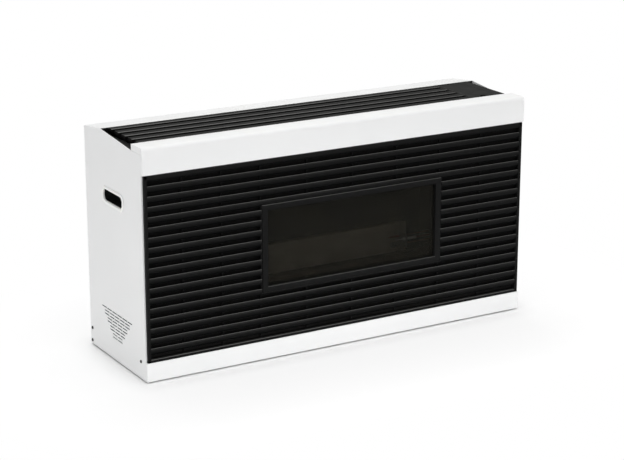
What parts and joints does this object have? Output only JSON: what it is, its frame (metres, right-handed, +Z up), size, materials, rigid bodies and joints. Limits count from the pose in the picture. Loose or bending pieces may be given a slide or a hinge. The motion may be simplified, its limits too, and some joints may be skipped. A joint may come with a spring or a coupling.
{
  "type": "wall gas heater",
  "caption": "Low, wide gas heater for a wall: white sheet casing, black louvred front with a window on the fire, slatted warm air outlet on top with a lid over the controls.",
  "frame": {"origin": "middle of the footprint, on the plane that the base pan's four feet stand on", "axes": "+X along the wall to the end with the controls, +Y towards the wall, +Z up; the louvred front faces -Y"},
  "size_m": [0.9448, 0.284, 0.5],
  "materials": {
    "white_enamel": "satin white enamel on sheet steel",
    "white_plastic": "smooth white moulding",
    "black_enamel": "semi-matt black enamel",
    "black_plastic": "matt black moulding",
    "zinc_sheet": "bare zinc coated sheet",
    "steel": "bright plated steel",
    "blacked_steel": "chemically blackened steel screws",
    "heatproof_black": "matt heatproof black",
    "dark_glass": "smoked heat resisting glass",
    "rope_seal": "woven heat resisting seal",
    "ceramic": "pressed refractory fibre board",
    "white_ceramic": "glazed white ceramic",
    "cast_aluminium": "sand blasted casting",
    "brass": "turned brass",
    "copper": "drawn copper tube",
    "red_silicone": "silicone sleeve"
  },
  "bodies": {
    "casing": {"side_panel_left": "white_enamel", "side_panel_right": "white_enamel", "top_rail": "white_enamel", "bottom_rail": "white_enamel", "rear_deck": "white_enamel", "grip_rim_left": "white_plastic", "grip_rim_right": "white_plastic", "front_grille": "black_enamel", "window_frame": "black_enamel", "top_grille": "black_enamel", "grip_cup_left": "black_plastic", "grip_cup_right": "black_plastic", "control_tray": "black_plastic", "igniter_body": "black_plastic", "back_panel": "zinc_sheet", "base_pan": "zinc_sheet", "air_box": "zinc_sheet", "air_spigot": "zinc_sheet", "warm_air_deflector": "zinc_sheet", "burner_bracket_left": "zinc_sheet", "burner_bracket_right": "zinc_sheet", "igniter_nut": "zinc_sheet", "side_screw_left_front": "blacked_steel", "side_screw_left_rear_high": "blacked_steel", "side_screw_left_rear_low": "blacked_steel", "side_screw_right_front": "blacked_steel", "side_screw_right_rear_high": "blacked_steel", "side_screw_right_rear_low": "blacked_steel", "lid_hinge_pin": "steel", "burner_bar": "steel", "pilot_burner": "steel", "flue_spigot": "steel", "spindle_spring": "steel", "igniter_spring": "steel", "front_shield": "heatproof_black", "glass_clamp": "heatproof_black", "combustion_chamber": "heatproof_black", "window_glass": "dark_glass", "glass_gasket": "rope_seal", "ceramic_panel": "ceramic", "spark_electrode": "white_ceramic", "gas_valve": "cast_aluminium", "injector": "brass", "inlet_union": "brass", "inlet_pipe": "copper", "burner_pipe": "copper", "pilot_pipe": "copper", "thermocouple": "copper", "thermostat_bulb": "copper", "ignition_lead": "red_silicone"},
    "lid": {"control_lid": "black_enamel"},
    "cam": {"valve_cam": "zinc_sheet"},
    "knob": {"gas_knob": "black_plastic", "valve_spindle": "brass"},
    "button": {"igniter_button": "white_plastic"}
  },
  "joints": [
    {"name": "lid_hinge", "type": "hinge", "parent": "casing", "child": "lid", "pos_m": [0.4, 0.0506, 0.4958], "axis": [-1, 0, 0], "range_deg": [0, 100]},
    {"name": "knob_turn", "type": "hinge", "parent": "casing", "child": "cam", "pos_m": [0.4, -0.047, 0.443], "axis": [0, 0, 1], "range_deg": [0, 180]},
    {"name": "knob_press", "type": "slide", "parent": "cam", "child": "knob", "axis": [0, 0, -1], "range_m": [0, 0.003], "stiffness_N_per_m": 800, "springref_m": -0.006, "deforming": ["spindle_spring"]},
    {"name": "igniter_press", "type": "slide", "parent": "casing", "child": "button", "axis": [0, 0, -1], "range_m": [0, 0.006], "stiffness_N_per_m": 1500, "springref_m": -0.004, "deforming": ["igniter_spring"]}
  ]
}
